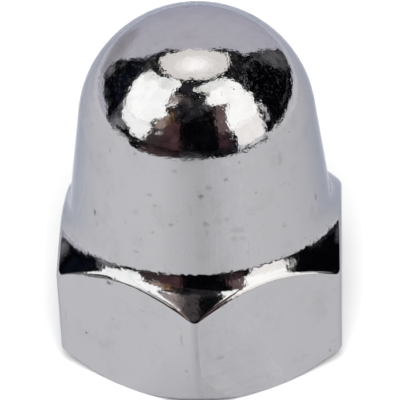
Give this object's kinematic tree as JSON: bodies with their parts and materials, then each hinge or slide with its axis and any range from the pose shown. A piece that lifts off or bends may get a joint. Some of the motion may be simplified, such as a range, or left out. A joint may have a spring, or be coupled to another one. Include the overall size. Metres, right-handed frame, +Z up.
{
  "type": "domed cap nut",
  "caption": "Domed hexagon cap nut with a tall tapered cap, chamfered hexagon and blind threaded hole, plated bright.",
  "frame": {"origin": "centre of the flat bearing face, on the axis of the thread", "axes": "+Z up the axis towards the top of the dome, out of the blind end; +X square to one flat of the hexagon; a corner of the hexagon lies on +Y and on -Y"},
  "size_m": [0.0078, 0.009, 0.01],
  "materials": {
    "plating": "bright plated steel, mirror-like, with faint dull smudges, fine pits and handling scratches"
  },
  "bodies": {
    "root": {"cap_nut": "plating"}
  },
  "joints": []
}
